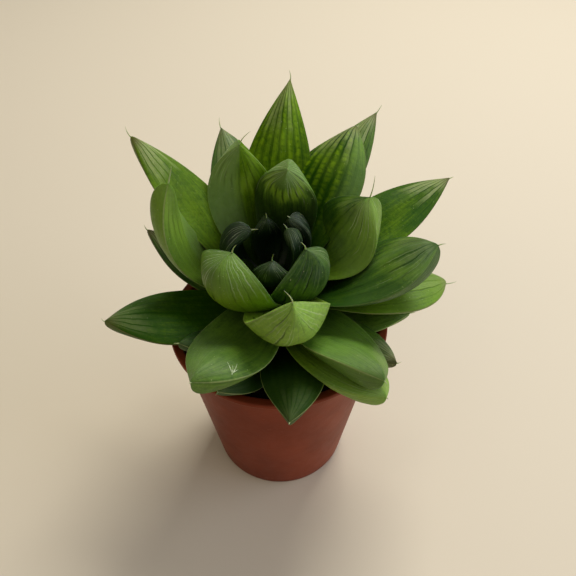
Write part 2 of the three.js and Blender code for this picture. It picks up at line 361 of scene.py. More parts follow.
class Board:
    """The nodes of one material, with short calls for the steps that its patterns are made of."""

    def __init__(self, name: str) -> None:
        """Starts a material with one glossy shader.

        Args:
            name: The material's name.
        """
        self.material = bpy.data.materials.new(name)
        self.material.use_nodes = True
        self.tree = self.material.node_tree
        self.shader = next(n for n in self.tree.nodes if n.type == "BSDF_PRINCIPLED")

    def feed(self, socket: Socket, source: Source) -> None:
        """Links or sets a socket.

        Args:
            socket: The socket to feed.
            source: A value, a number, or three numbers for a colour or a vector.
        """
        if isinstance(source, Value):
            self.tree.links.new(source.socket, socket)
        else:
            socket.default_value = (*source, 1.0) if socket.type == "RGBA" else source

    def made(
        self, kind: str, feeds: dict[int | str, Source], output: int | str = 0, **choices: str
    ) -> Value:
        """Adds a node.

        Args:
            kind: Its kind, without the words that every kind starts with.
            feeds: What its inputs are fed with.
            output: Which of its outputs is wanted.
            **choices: Its further settings.

        Returns:
            The output.
        """
        node = self.tree.nodes.new(f"ShaderNode{kind}")
        for key, choice in choices.items():
            setattr(node, key, choice)
        for key, source in feeds.items():
            self.feed(node.inputs[key], source)
        return Value(self, node.outputs[output])

    def worked(self, operation: str, *terms: Value | float) -> Value:
        """One step of arithmetic, by the name of a Math node's operation."""
        return self.made("Math", dict(enumerate(terms)), operation=operation)

    def blend(self, share: Value | float, first: Source, second: Source) -> Value:
        """A colour between two, by how much of the second there is."""
        return self.made("Mix", {0: share, 6: first, 7: second}, output=2, data_type="RGBA")

    def layered(self, ground: Value, *layers: tuple[Value, Source]) -> Value:
        """A colour with others laid over it in turn.

        Args:
            ground: The lowest colour.
            *layers: How strong each further one is, and its colour.

        Returns:
            The colour on top.
        """
        for share, colour in layers:
            ground = self.blend(share, ground, colour)
        return ground

    def place(self) -> Value:
        """The place on the piece, in metres."""
        return self.made("TexCoord", {}, output="Object")

    def grain(self, size: float, detail: float = 2.0) -> Value:
        """Cloudy noise from 0 to 1, by its clouds' size in millimetres and its count of finer layers."""
        feeds = {"Vector": self.place(), "Scale": 1 / (size * MM), "Detail": detail}
        return self.made("TexNoise", feeds)

    def specks(self, spacing: float, share: float) -> Value:
        """Small scattered dots, each in a cell of its own, and none in most of the cells.

        Args:
            spacing: The size of a cell, in millimetres.
            share: A dot's radius as a share of its cell.

        Returns:
            1 in a dot and 0 elsewhere.
        """
        feeds = {"Vector": self.place(), "Scale": 1 / (spacing * MM)}
        distance = self.made("TexVoronoi", feeds, output="Distance")
        chosen = self.made("SeparateColor", {0: distance.beside("Color")}).rise(0.62, 0.7)
        return chosen * distance.fall(share * 0.5, share)

    def named(self, name: str) -> Value:
        """A named value of the mesh."""
        return self.made("Attribute", {}, output="Fac", attribute_name=name)

    def chance(self, number: Value) -> Value:
        """A random value from 0 to 1 for each number."""
        return self.made("TexWhiteNoise", {"W": number}, output="Value", noise_dimensions="1D")

    def raised(self, height: Value, depth: float) -> Value:
        """A fine relief, by its height from 0 to 1 and its depth in millimetres."""
        return self.made("Bump", {"Distance": depth * MM, "Height": height})

    def dress(self, feeds: dict[str, Source]) -> bpy.types.Material:
        """Finishes the material.

        Args:
            feeds: What the shader's inputs are fed with.

        Returns:
            The material.
        """
        for name, source in feeds.items():
            self.feed(self.shader.inputs[name], source)
        return self.material


class Tier(Enum):
    """The tiers of the rosette, from its heart out."""

    HEART = "heart"
    UPPER = "upper"
    MIDDLE = "middle"
    LOW = "low"


@dataclass(frozen=True)
class Markings:
    """How strongly a leaf shows each of its markings, and its painted light and shade: 0 is not at all, and 1 is
    plainly.

    Attributes:
        lines: Dark lines from root to tip.
        net: Bright cells between them.
        windows: Pale patches between the lines near the tip.
        frost: Fine pale lines that fan out from the tip.
        blush: How far the margin goes from pale to purplish grey.
        glow: How brightly painted light glows through the end of its face, over painted shade on its lower part.
        rim: How clearly its margin shows.
    """

    lines: float
    net: float
    windows: float
    frost: float
    blush: float
    glow: float = 0.0
    rim: float = 0.8


class Look(Enum):
    """The ways that this rosette's leaves are marked, with painted light and shade on the faces of some."""

    NETTED = Markings(0.55, 1.0, 0.6, 0.0, 0.8, 0.2, 0.5)
    LINED = Markings(0.7, 0.3, 0.0, 0.9, 0.0, 0.5, 0.6)
    WINDOWED = Markings(0.05, 0.1, 0.9, 0.0, 1.0)
    HAZY = Markings(0.1, 0.0, 0.6, 0.0, 0.7)
    FROSTED = Markings(0.2, 0.0, 0.0, 0.8, 0.0, 0.0, 0.4)
    FANNED = Markings(1.2, 0.0, 0.0, 0.8, 0.0, 0.0, 0.9)
    # LIT and HOODED paint light through the end of the face and painted shade below it
    LIT = Markings(0.2, 0.1, 0.0, 1.3, 0.0, 1.0, 0.1)
    STREAKED = Markings(0.8, 0.2, 0.2, 0.9, 0.1, 0.2, 0.25)
    SPECKLED = Markings(1.2, 0.2, 0.0, 0.7, 0.0, 0.0, 0.6)
    STRIPED = Markings(0.6, 0.1, 0.3, 0.0, 0.7)
    SMOOTH = Markings(0.08, 0.0, 0.1, 0.15, 0.1)
    HOODED = Markings(0.08, 0.0, 0.1, 0.3, 0.1, 0.45)
    PLAIN = Markings(0.1, 0.05, 0.08, 0.0, 0.2, 0.0, 0.9)


@dataclass(frozen=True)
class Bristle:
    """The bristle at a leaf's tip: where its point is from its foot, in the leaf's own directions.

    Attributes:
        ahead: Millimetres along the leaf's line.
        sideways: Millimetres to its side, reached in a bend.
        upwards: Millimetres towards its face, reached in a bend.
        radius: Radius of its foot, in millimetres.
        point: Radius of its point, in millimetres.
        taper: The power of what is left of its length by which it narrows.
    """

    ahead: float = 1.5
    sideways: float = 0.0
    upwards: float = 0.0
    radius: float = 0.14
    point: float = 0.015
    taper: float = 0.7


@dataclass(frozen=True)
class PaintedSheen:
    """Painted bluish sheen on a leaf's end: its strength from 0 to 1 from one side to the other.

    Attributes:
        against: Strength on the side against the leaf's side direction.
        middle: Strength along its middle.
        towards: Strength on the side towards it.
        start: Share of the length where it starts.
        dusk: How much more painted shade darkens the side against the leaf's side direction than the other.
        parting: Share across at which one side goes over into the other.
        spread: Share across that this takes to either side of the parting.
        fade: Share of the length over which it reaches its strength.
    """

    against: float = 0.1
    middle: float = 0.1
    towards: float = 0.1
    start: float = 0.5
    dusk: float = 0.0
    parting: float = 0.0
    spread: float = 0.16
    fade: float = 0.2


@dataclass(frozen=True)
class LeafPlan:
    """One leaf's line, size and look.

    Attributes:
        heading: Direction that it leaves the stem in, seen from above, in degrees from +X.
        rise: Climb at its root, in degrees.
        end: Climb at its tip, in degrees.
        length: Length of its line, in millimetres.
        width: Greatest width, in millimetres.
        roll: Turn about its own line, in degrees.
        turn: How far the heading has changed by the tip, in degrees.
        height: Height of its root, in millimetres.
        look: How it is marked.
        tone: How light it is: 0 is usual, less is darker; partly its own green, partly painted light and shade.
        warmth: How yellow its green is, from 0 to 1.
        bristle: Its bristle.
        bloom: The painted bluish sheen of its end.
        own: Parts of its form that differ from its tier's.
    """

    heading: float
    rise: float
    end: float
    length: float
    width: float
    roll: float
    turn: float
    height: float
    look: Look
    tone: float = 0.0
    warmth: float = 0.5
    bristle: Bristle = Bristle()
    bloom: PaintedSheen = PaintedSheen()
    own: dict[str, float] = field(default_factory=dict)


@dataclass(frozen=True)
class LeafForm:
    """The form that all the leaves share, as shares of a leaf's length and width, or in millimetres.

    Attributes:
        keel: Depth of the keel, as a share of the width.
        swell: Height of the swollen end above the face, as a share of the width.
        widest_at: Where it is widest.
        base_width: Its width at the root.
        deepest_at: Where the keel is deepest.
        base_depth: The keel's depth at the root, as a share of its greatest.
        swell_from: Where the face starts to swell.
        swell_at: Where it is most swollen.
        cup: How far the margins stand up at the root.
        cup_until: Where that has flattened out.
        edge: Thickness at the margin.
        root: How far the leaf reaches into the stem.
        taper: The power by which it narrows to its tip.
        blunt: How far the keel is rounded off across its ridge.
        rib: Height of the ribs between the lines, in millimetres.
        ribs: How many ribs the face's whole width holds.
        keel_rib: Height of the keel's ribs, as a share of the face's.
        wave: How far the margins wave, as a share of the half width.
        fullness: The power by which it widens from its root.
        stern: The power by which the keel's depth falls to its tip.
        crown: The power by which the swollen face falls to its margins.
        hull: The power by which the keel rises to its margins.
        core_from: Where the round core starts that grows into the bristle.
    """

    keel: float
    swell: float
    widest_at: float = 0.55
    base_width: float = 0.5
    deepest_at: float = 0.72
    base_depth: float = 0.3
    swell_from: float = 0.3
    swell_at: float = 0.78
    cup: float = 0.14
    cup_until: float = 0.75
    edge: float = 0.6
    root: float = 2.2
    taper: float = 2.0
    blunt: float = 0.12
    rib: float = 0.04
    ribs: int = 7
    keel_rib: float = 0.6
    wave: float = 0.006
    fullness: float = 1.3
    stern: float = 2.2
    crown: float = 1.4
    hull: float = 1.6
    core_from: float = 0.8

    def width_share(self, s: Array) -> Array:
        """Half width: a power of a quarter sine, then one less a power.

        Args:
            s: Shares of the length, from 0 at the root to 1 at the tip.

        Returns:
            The share of the greatest half width at each.
        """
        rising = np.sin(np.clip(s / self.widest_at, 0, 1) * np.pi / 2) ** self.fullness
        falling = 1 - beyond(s, self.widest_at) ** self.taper
        return np.where(s < self.widest_at, rising + self.base_width * (1 - rising), falling)

    def depth_share(self, s: Array) -> Array:
        """Depth of the keel: an eased rise, then a rounded fall to the tip.

        Args:
            s: Shares of the length, from 0 at the root to 1 at the tip.

        Returns:
            The share of the greatest depth at each.
        """
        rising = self.base_depth + (1 - self.base_depth) * eased(s / self.deepest_at)
        falling = np.sqrt(1 - beyond(s, self.deepest_at) ** self.stern)
        return np.where(s < self.deepest_at, rising, falling)

    def swell_share(self, s: Array) -> Array:
        """Height of the swollen end: an eased rise, then a quarter circle down to the tip."""
        rising = eased((s - self.swell_from) / (self.swell_at - self.swell_from))
        return np.where(s < self.swell_at, rising, np.sqrt(1 - beyond(s, self.swell_at) ** 2))


@dataclass(frozen=True)
class StemLine:
    """The line that the leaves grow from, which leans to the back as it rises.

    Attributes:
        soil_level: Height where the line starts, in millimetres.
        foot: Its place there.
        lean: How far it moves for each millimetre of height.
        offset: Distance from the line at which a leaf's root starts.
    """

    soil_level: float = 45.0
    foot: tuple[float, float] = (-1.0, 0.0)
    lean: tuple[float, float] = (-0.5 / 23, 5 / 23)
    offset: float = 4.0

    def at(self, height: Array | float) -> tuple[Array, Array]:
        """The line's place at a height: its foot plus its lean times the height over the soil."""
        above = height - self.soil_level
        return self.foot[0] + self.lean[0] * above, self.foot[1] + self.lean[1] * above


class Leaf:
    """One thick, boat-shaped leaf with its bristle."""

    # Rows of points along the blade, points in each, and rows along the bristle
    LENGTHWISE, AROUND, ALONG_BRISTLE = 96, 60, 16
    # The power by which the rows crowd together towards the tip
    CROWDING = 1.25
    # Steps by which the line is summed
    LINE_STEPS = 400
    # How much sooner than at the tip the roll is complete
    ROLL_PACE = 1.2
    # Share across that keeps the leaf's tone where painted shade darkens one side
    DUSK_FROM = 0.3
    # Share of the fine pale lines' strength that is left outside the painted sheen
    LEAST_FROST = 0.15
    # The painted sheen's strength under which the fine pale lines fade with it
    LEAST_BLOOM = 0.1
    # How much wider one half may be than the other, as a share of the half width
    SKEW = 0.03
    # Share along where the ribs reach their full height
    RIBBED_FROM = 0.4
    # How far the root's end lies behind the first section, in millimetres
    ROOT_POINT = 0.2

    def __init__(self, plan: LeafPlan, form: LeafForm, stem: StemLine, seed: int) -> None:
        """Takes the leaf's plan and draws its small chances.

        Args:
            plan: Its line, size and look.
            form: The form that it shares with its tier.
            stem: The line that it grows from.
            seed: Picks its small irregularities.
        """
        self.plan, self.form, self.stem = plan, replace(form, **plan.own), stem
        chance = np.random.default_rng(seed)
        self.skew = chance.uniform(-self.SKEW, self.SKEW)
        self.ripple = chance.uniform(0, TURN, 3)

    def directions(self, s: Array) -> tuple[Array, Array, Array]:
        """The leaf's line, side and face directions.

        Climb and heading change evenly from root to tip. The face direction is square to the line
        and rises, the side is square to both, and both then roll about the line.

        Args:
            s: Shares of the length, held at 1 beyond the tip.

        Returns:
            Line, side and face directions, each with a row for each share.
        """
        s = np.clip(s, 0, 1)
        plan = self.plan
        climb = np.radians(plan.rise + (plan.end - plan.rise) * s)
        heading = np.radians(plan.heading + plan.turn * s)
        level = np.stack([np.cos(heading), np.sin(heading), 0 * s], -1)
        upward = np.array([0.0, 0.0, 1.0])
        line = np.cos(climb)[:, None] * level + np.sin(climb)[:, None] * upward
        face = -np.sin(climb)[:, None] * level + np.cos(climb)[:, None] * upward
        side = np.cross(line, face)
        roll = np.radians(plan.roll) * eased(self.ROLL_PACE * s)
        cosine, sine = np.cos(roll)[:, None], np.sin(roll)[:, None]
        return line, side * cosine + face * sine, face * cosine - side * sine

    def spine(self, s: Array) -> Array:
        """Places on the leaf's line: its root plus the summed steps of its direction.

        Args:
            s: Shares of the length, from 0 to 1.

        Returns:
            A place for each share, in millimetres.
        """
        fine = np.linspace(0, 1, self.LINE_STEPS + 1)
        middle = (fine[1:] + fine[:-1]) / 2
        steps = self.directions(middle)[0] * self.plan.length / self.LINE_STEPS
        walked = np.vstack([np.zeros(3), np.cumsum(steps, 0)])
        heading = np.radians(self.plan.heading)
        out = self.stem.offset * np.array([np.cos(heading), np.sin(heading), 0])
        root = np.array([*self.stem.at(self.plan.height), self.plan.height]) + out
        return root + np.stack([np.interp(s, fine, walked[:, i]) for i in range(3)], -1)

    def bristle_line(self, q: Array) -> Array:
        """Places on the bristle: evenly along the leaf's line, and off it by the share's square.

        Args:
            q: Shares of the bristle's length.

        Returns:
            A place for each share, in millimetres.
        """
        line, side, face = (d[0] for d in self.directions(np.ones(1)))
        bristle, tip = self.plan.bristle, self.spine(np.ones(1))[0]
        off = side * bristle.sideways + face * bristle.upwards
        return tip + q[:, None] * line * bristle.ahead + q[:, None] ** 2 * off

    def section(self, s: Array, v: Array) -> Array:
        """Places on the blade.

        At share s and angle v round the section, the point is the line's place, plus the half width
        times cos v along the side, plus a height along the face: half the edge's thickness, plus the
        swell above or the keel below, each less a power of the share across, plus the cup times its
        square. Three small sines wave the margins, and the edge thins where the blade is narrower than
        a third. Ribs run along the blade, and a thin round core grows towards the bristle.

        Args:
            s: Shares of the length, one a row.
            v: Angles, with a row for each share or one for all.

        Returns:
            A place for each row and angle, in millimetres.
        """
        form, width = self.form, self.plan.width
        across, top = np.cos(v), np.sin(v) >= 0
        share = np.abs(across)
        half = width / 2 * form.width_share(s)[:, None]
        half = half * (1 + self.skew * np.sign(across) * share**2)
        ripples = sum(np.sin((3 + 2 * i) * s + self.ripple[i]) for i in range(3))[:, None]
        half = half * (1 + form.wave * ripples * share**4)
        swell = form.swell * width * form.swell_share(s)[:, None]
        depth = form.keel * width * form.depth_share(s)[:, None]
        cup = form.cup * width * (1 - eased(s / form.cup_until))[:, None]
        edge = form.edge / 2 * np.sqrt(1 - share**6) * np.minimum(form.width_share(s) * 3, 1)[:, None]
        face = edge + swell * (1 - share**form.crown)
        blunt = np.sqrt(share**2 + form.blunt**2) - form.blunt
        blunt = blunt / (np.sqrt(1 + form.blunt**2) - form.blunt)
        keel = -edge - depth * (1 - blunt**form.hull)
        ribbed = (eased(s / self.RIBBED_FROM) * (1 - s**6))[:, None] * (1 - share**8)
        rib = -form.rib * np.cos(np.pi * form.ribs * across) * ribbed
        core = self.plan.bristle.radius * eased((s - form.core_from) / (1 - form.core_from))[:, None]
        height = np.where(top, face + rib, keel - rib * form.keel_rib)
        height = height + cup * share**2 + core * np.sin(v)
        sideways = np.sign(across) * np.sqrt((half * share) ** 2 + (core * across) ** 2)
        _, side, up = self.directions(s)
        middle = self.spine(s)[:, None]
        return middle + sideways[..., None] * side[:, None] + height[..., None] * up[:, None]

    def surface(self) -> tuple[Sheet, Array, Array]:
        """The leaf's surface and the values that its markings follow.

        The blade's sections, the first one moved back into the stem, go over into round rings along
        the bristle that shrink by a power of what is left of it.

        Returns:
            The surface, its map values (share along and share across), and 1 on the face and 0 on
            the keel.
        """
        s = 1 - (1 - np.linspace(0, 1, self.LENGTHWISE)) ** self.CROWDING
        q = np.linspace(0, 1, self.ALONG_BRISTLE + 2)[1:-1]
        v = np.arange(self.AROUND) / self.AROUND * TURN
        across, top = np.cos(v), np.sin(v) >= 0
        line, side, up = self.directions(s)
        blade = self.section(s, v[None])
        blade[0] -= line[0] * self.form.root
        spike = self.plan.bristle
        thin = spike.radius * (1 - q) ** spike.taper + spike.point
        ring = across[None, :, None] * side[-1] + np.sin(v)[None, :, None] * up[-1]
        bristle = self.bristle_line(q)[:, None] + thin[:, None, None] * ring
        root = self.spine(np.zeros(1))[0] - line[0] * (self.form.root + self.ROOT_POINT)
        sheet = Sheet(np.vstack([blade, bristle]), root, self.bristle_line(np.ones(1))[0])
        along = np.concatenate([s, 1 + q])
        rows = len(along)
        values = np.stack([np.repeat(along, self.AROUND), np.tile(across, rows)], -1)
        values = np.vstack([values, [0, 0], [2, 0]])
        on_face = np.concatenate([np.tile(top, rows), [0, 0]]).astype(float)
        return sheet, values, on_face

    def bloom(self, values: Array) -> tuple[Array, Array]:
        """Strength of the painted bluish sheen, and of the fine pale lines, which are mostly where it is.

        The painted sheen rises along the leaf, and changes soon past its middle.

        Args:
            values: Share along and share across of each point.

        Returns:
            Both strengths.
        """
        along, across = values.T
        bloom = self.plan.bloom
        levels = np.array([bloom.against, bloom.middle, bloom.towards])
        sides = np.interp(across - bloom.parting, (-bloom.spread, 0, bloom.spread), levels)
        shares = np.clip(sides / max(levels.max(), self.LEAST_BLOOM), self.LEAST_FROST, 1)
        return sides * eased((along - bloom.start) / bloom.fade), self.plan.look.value.frost * shares

    def build(self, name: str) -> bpy.types.Object:
        """Makes the leaf's mesh with the strengths of its markings, its painted sheen and its painted shade.

        Args:
            name: The piece's name.

        Returns:
            The leaf.
        """
        sheet, values, on_face = self.surface()
        marks, even = self.plan.look.value, np.ones(len(values))
        bloom, lined = self.bloom(values)
        strengths = {mark.name: even * getattr(marks, mark.name) for mark in fields(marks)}
        strengths |= {
            "on_face": on_face,
            "frost": lined,
            # The tone carries painted shade on the side against the leaf's side direction
            "tone": self.plan.tone + self.plan.bloom.dusk * (values[:, 1] - self.DUSK_FROM),
            "warmth": even * self.plan.warmth,
            "bloom": bloom,
        }
        return build_piece(name, [sheet], values, strengths)


class LeafBoard(Board):
    """A leaf's nodes: its map, the noise that its patterns share, and each pattern's strength.

    The dark lines lie at whole numbers of a place across the leaf, which wanders a little. Each line
    and each strip between two of them draws random values by its number.
    """

    # Dark lines and pale rays on the half width, and bright cells along the length
    LINES, RAYS, CELLS = 4.0, 9.5, 30.0

    def __init__(self, name: str) -> None:
        """Reads the leaf's map, makes the shared noise and numbers the lines.

        Args:
            name: The material's name.
        """
        super().__init__(name)
        self.along = self.made("SeparateXYZ", {0: self.made("UVMap", {}, uv_map="surface")})
        self.across = self.along.beside(1)
        self.edge_share = abs(self.across)
        self.wander, self.mottle, self.fine = self.grain(3.2), self.grain(1.5, 1.0), self.grain(0.7, 3.0)
        self.fibres, self.strands = self.streaks(5.0, 10.0), self.streaks(7.0, 34.0)
        self.wandered = self.across + self.wander * 0.1 + self.fine * 0.03 - 0.065
        place = self.wandered * self.LINES
        self.number, self.between = round(place), self.chance(place.floored())
        self.near = abs(place - self.number)
        # Where there is no painted sheen
        self.clear = 1.0 - self.named("bloom")
        self.blade = self.along.fall(0.97, 1.02)

    def streaks(self, lengthwise: float, sideways: float) -> Value:
        """Noise from 0 to 1, drawn out along the leaf.

        Args:
            lengthwise: How many of its clouds the length holds.
            sideways: How many of them the half width holds.

        Returns:
            The noise.
        """
        places = {0: self.along * lengthwise, 1: self.across * sideways, 2: self.named("warmth")}
        feeds = {"Vector": self.made("CombineXYZ", places), "Scale": 1.0, "Detail": 3.0}
        return self.made("TexNoise", feeds)

    def dark_lines(self) -> Value:
        """The dark lines, which start later where there is frost, and waver in width and strength.

        Returns:
            Their strength.
        """
        late = self.chance(self.number + 20.0) * self.named("frost") * 0.34 + 0.15
        thick = self.named("net") * 0.1 + self.wander.scaled(0.04, 0.2)
        line = self.near.fall(thick * 0.1, thick) * self.chance(self.number).scaled(0.5, 1.0)
        at_tip = self.along.rise(0.62, 0.8) * self.named("windows") * 0.9
        strength = self.worked("MAXIMUM", self.named("lines") * self.clear, at_tip)
        drawn = self.along.rise(late, late + 0.4) * self.blade * strength
        return line * drawn * self.fibres.rise(0.42, 0.6).scaled(0.2, 1.25)

    def bright_cells(self) -> Value:
        """Bright cells along the strips between the lines, each of its own brightness.

        Returns:
            Their strength.
        """
        crossing = self.along * self.CELLS + self.between * 7.3 + self.wander * 2.4
        step = crossing.floored()
        bright = self.chance(self.worked("MULTIPLY_ADD", self.between, 91.0, step)).scaled(0.3, 1.0)
        inside = abs(crossing - step - 0.5).fall(0.16, 0.5).scaled(0.3, 1.0)
        reach = self.along.rise(0.15, 0.6) * self.blade * self.edge_share.fall(0.75, 0.98)
        return self.near.rise(0.06, 0.46) * inside * bright * reach * self.named("net") * self.clear

    def pale_windows(self) -> Value:
        """A pale window at the end of each strip, with a start of its own.

        Returns:
            Their strength.
        """
        start = self.between.scaled(0.6, 0.76) + self.wander * 0.16
        lengthwise = self.along.rise(start, start + 0.16) * self.along.fall(0.95, 1.0)
        sideways = self.near.rise(0.03, 0.18) * self.edge_share.fall(0.72, 0.9)
        return lengthwise * sideways * self.named("on_face").scaled(0.35, 1.0) * self.named("windows")

    def pale_rays(self) -> Value:
        """Fine pale lines that fan out from the tip, each of its own length, and some left out.

        Returns:
            Their strength.
        """
        fan = self.wandered * self.RAYS
        ray = round(fan)
        start = self.chance(ray + 50.0).scaled(0.52, 0.84)
        drawn = self.along.rise(start, start + 0.14) * self.along.fall(1.0, 1.02)
        kept = self.chance(ray).rise(0.2, 0.7) * self.strands.rise(0.36, 0.6).scaled(0.1, 1.0)
        return abs(fan - ray).fall(0.02, 0.17) * drawn * kept * self.named("frost")

    def hood(self) -> tuple[Value, Value]:
        """Painted light near the end of a face, as if shining through it, with a ragged edge, and painted shade below
        it.

        Returns:
            The strength of both.
        """
        hollow = self.named("on_face") * self.named("glow")
        ragged = self.along + (self.fibres - 0.5) * 0.3 - self.edge_share * self.edge_share * 0.22
        glow = ragged.rise(0.56, 0.7) * ragged.fall(0.72, 0.82) * hollow
        return glow, ragged.fall(0.4, 0.66) * hollow

    def margin(self) -> Value:
        """The coloured margin and the coloured tip.

        Returns:
            The greater strength of both.
        """
        rim = self.edge_share.rise(0.972, 0.999) * self.along.rise(0.1, 0.4)
        tip = self.along.rise(0.9, 0.99) * self.named("blush") * 0.5
        return self.worked("MAXIMUM", rim * self.fine.scaled(0.4, 1.1) * self.named("rim"), tip)

    def lightness(self) -> Value:
        """How light the green is: the leaf's tone, clouds, streaks and fine grain added up.

        Returns:
            The lightness, from 0 to 1.
        """
        light = self.named("tone") * 0.5 + self.grain(7.0).scaled(0.25, 0.75)
        shares = ((self.fibres, 0.4), (self.strands, 0.35), (self.mottle, 0.15), (self.fine, 0.3))
        for pattern, share in shares:
            light = light + (pattern - 0.5) * share
        return light.rise(0.1, 0.9)


@dataclass(frozen=True)
class LeafSkin:
    """The waxy skin of one tier's leaves.

    Attributes:
        name: The material's name.
        cool: The bluer green, where it is dark and where it is light.
        warm: The yellower green, where it is dark and where it is light.
        line: The dark lines.
        night: The painted shade that the darkest leaves go towards.
        glow: The brightest green, of pale speckles on the lighter leaves and of painted light through a leaf's end.
        window: The pale patches near the tip.
        frost: The fine pale lines.
        wax: The painted bluish sheen.
        pale_edge: A pale margin.
        grey_edge: A purplish grey margin.
        root: The colour towards its root: dark green painted shade on the inner tiers, olive on the low leaves.
        root_reach: Share of the length at which it has faded out.
        bristle: The bristle.
        roughness: How dull the waxy skin is.
    """

    name: str
    cool: tuple[Colour, Colour] = (display(28, 58, 28), display(80, 118, 58))
    warm: tuple[Colour, Colour] = (display(36, 74, 1), display(122, 156, 14))
    line: Colour = display(26, 50, 8)
    night: Colour = display(14, 28, 2)
    glow: Colour = display(148, 184, 56)
    window: Colour = display(190, 196, 138)
    frost: Colour = display(176, 190, 140)
    wax: Colour = display(112, 144, 76)
    pale_edge: Colour = display(158, 172, 108)
    grey_edge: Colour = display(118, 94, 70)
    root: Colour = display(104, 96, 48)
    root_reach: float = 0.3
    bristle: Colour = display(168, 178, 130)
    roughness: float = 0.46

    def material(self) -> bpy.types.Material:
        """Builds the skin: cloudy greens with its patterns laid over them, and a relief that follows.

        Painted sheen, painted light and painted shade are laid over the greens as well.

        Returns:
            The material.
        """
        board = LeafBoard(self.name)
        warmth, tone, along = board.named("warmth"), board.named("tone"), board.along
        line, (glow, shade) = board.dark_lines(), board.hood()
        teeth = board.near.fall(0.02, 0.24) * glow * 0.8
        speckled = board.fine.rise(0.35, 0.65).scaled(0.3, 0.85)
        flecks = board.specks(1.0, 0.16) * along.rise(0.5, 0.7) * tone.rise(-1.2, -0.2)
        edge = board.blend(board.named("blush"), self.pale_edge, self.grey_edge)
        deep, fresh = (board.blend(warmth, cool, warm) for cool, warm in zip(self.cool, self.warm))
        colour = board.layered(
            board.blend(board.lightness(), deep, fresh),
            # Pale speckles on the lighter leaves, in the brightest green
            (tone.rise(0.2, 1.6) * speckled, self.glow),
            # Painted shade on the darkest leaves, which lie deep in the rosette and under others
            (tone.fall(-1.7, -0.8) * 0.85, self.night),
            (board.bright_cells() * 0.8, self.warm[1]),
            # Painted light through the end of the face, and painted shade below it
            (glow * 0.95, self.glow),
            (shade * 0.8, self.line),
            # Painted bluish sheen, a reflection of the light, on the leaf ends that face it
            (board.named("bloom") * board.mottle.scaled(0.6, 0.95), self.wax),
            (board.pale_windows() * 0.52, self.window),
            (board.worked("MAXIMUM", line * 0.75, teeth), self.line),
            (board.pale_rays() * 0.75, self.frost),
            (board.margin(), edge),
            # Towards the root: painted shade on the inner tiers, the leaves' own olive on the low tier
            (along.fall(0.05, self.root_reach) * 0.8, self.root),
            (flecks * 0.4, self.window),
            (along.rise(1.0, 1.1), self.bristle),
        )
        relief = board.fine * 0.4 + board.strands * 0.4 - line * 0.5
        return board.dress(
            {
                "Base Color": colour,
                "Roughness": board.fine.scaled(self.roughness - 0.05, self.roughness + 0.07),
                "Specular IOR Level": warmth.scaled(0.4, 0.06),
                "Subsurface Weight": 0.2,
                "Subsurface Radius": (0.5, 1.0, 0.1),
                "Subsurface Scale": 1.8 * MM,
                "Normal": board.raised(relief, 0.2),
            }
        )


@dataclass(frozen=True)
class Scar:
    """Small pale scratches on a leaf's face.

    Attributes:
        strokes: Where each starts and ends, as share along and share across, and its radius.
        sunk: How far each one's middle line lies under the face, in millimetres.
    """

    strokes: tuple[tuple[float, ...], ...] = (
        (0.805, -0.82, 0.75, -0.31, 0.14),
        (0.80, -0.80, 0.728, -0.42, 0.1),
        (0.805, -0.82, 0.70, -0.50, 0.14),
        (0.80, -0.79, 0.748, -0.74, 0.13),
        (0.81, -0.84, 0.785, -0.71, 0.24),
    )
    sunk: float = 0.04
    STEPS, SIDES = 20, 8

    def stroke(self, leaf: Leaf, ends: tuple[float, ...]) -> Sheet:
        """One scratch: a thin round rod along the face, thick at its start, thin at its end.

        Its radius at share q is that of the stroke times the root of 4q while that is under 1, times
        (1 - q) to the power 0.7.

        Args:
            leaf: The leaf that it lies on.
            ends: Its start, its end and its radius.

        Returns:
            Its surface.
        """
        q = np.linspace(0, 1, self.STEPS)
        along = ends[0] + (ends[2] - ends[0]) * q
        across = ends[1] + (ends[3] - ends[1]) * q
        line = leaf.section(along, np.arccos(across)[:, None])[:, 0]
        up = leaf.directions(along)[2]
        line -= up * self.sunk
        v = np.arange(self.SIDES) / self.SIDES * TURN
        thick = ends[4] * np.sqrt(np.minimum(4 * q, 1)) * (1 - q) ** 0.7
        lengthwise = np.gradient(line, axis=0)
        lengthwise /= np.linalg.norm(lengthwise, axis=1)[:, None]
        flat = np.cross(lengthwise, up)
        ring = np.cos(v)[None, :, None] * flat[:, None] + np.sin(v)[None, :, None] * up[:, None]
        rod = (line[:, None] + thick[:, None, None] * ring)[1:-1]
        return Sheet(rod, line[0], line[-1])

    def material(self) -> bpy.types.Material:
        """Pale, matt, healed skin, a little patchy.

        Returns:
            The material.
        """
        board = Board("scar_skin")
        patches = board.grain(0.6).rise(0.3, 0.7)
        healed = board.blend(patches, display(150, 170, 110), display(206, 214, 180))
        return board.dress({"Base Color": healed, "Roughness": 0.8})

    def build(self, name: str, slot: str, leaf: Leaf) -> None:
        """Builds and dresses the scratches of a leaf as one piece of this name and slot."""
        piece = build_piece(name, [self.stroke(leaf, ends) for ends in self.strokes])
        finish_piece(piece, self.material(), slot)


LEAF_FORMS = {
    Tier.HEART: LeafForm(keel=0.31, swell=0.15),
    Tier.UPPER: LeafForm(keel=0.27, swell=0.15),
    Tier.MIDDLE: LeafForm(keel=0.25, swell=0.13),
    Tier.LOW: LeafForm(keel=0.23, swell=0.1),
}

# The heart, upper and middle skins' dark root colours are painted shade deep in the rosette
LEAF_SKINS = {
    Tier.HEART: LeafSkin(
        "heart_leaf_skin",
        cool=(display(10, 32, 14), display(66, 104, 50)),
        frost=display(192, 204, 164),
        wax=display(92, 118, 66),
        pale_edge=display(84, 104, 62),
        root=display(16, 28, 8),
    ),
    Tier.UPPER: LeafSkin(
        "upper_leaf_skin", wax=display(126, 156, 86), root=display(20, 40, 6), root_reach=0.55
    ),
    Tier.MIDDLE: LeafSkin("middle_leaf_skin", root=display(34, 54, 14), root_reach=0.4),
    Tier.LOW: LeafSkin("low_leaf_skin"),
}
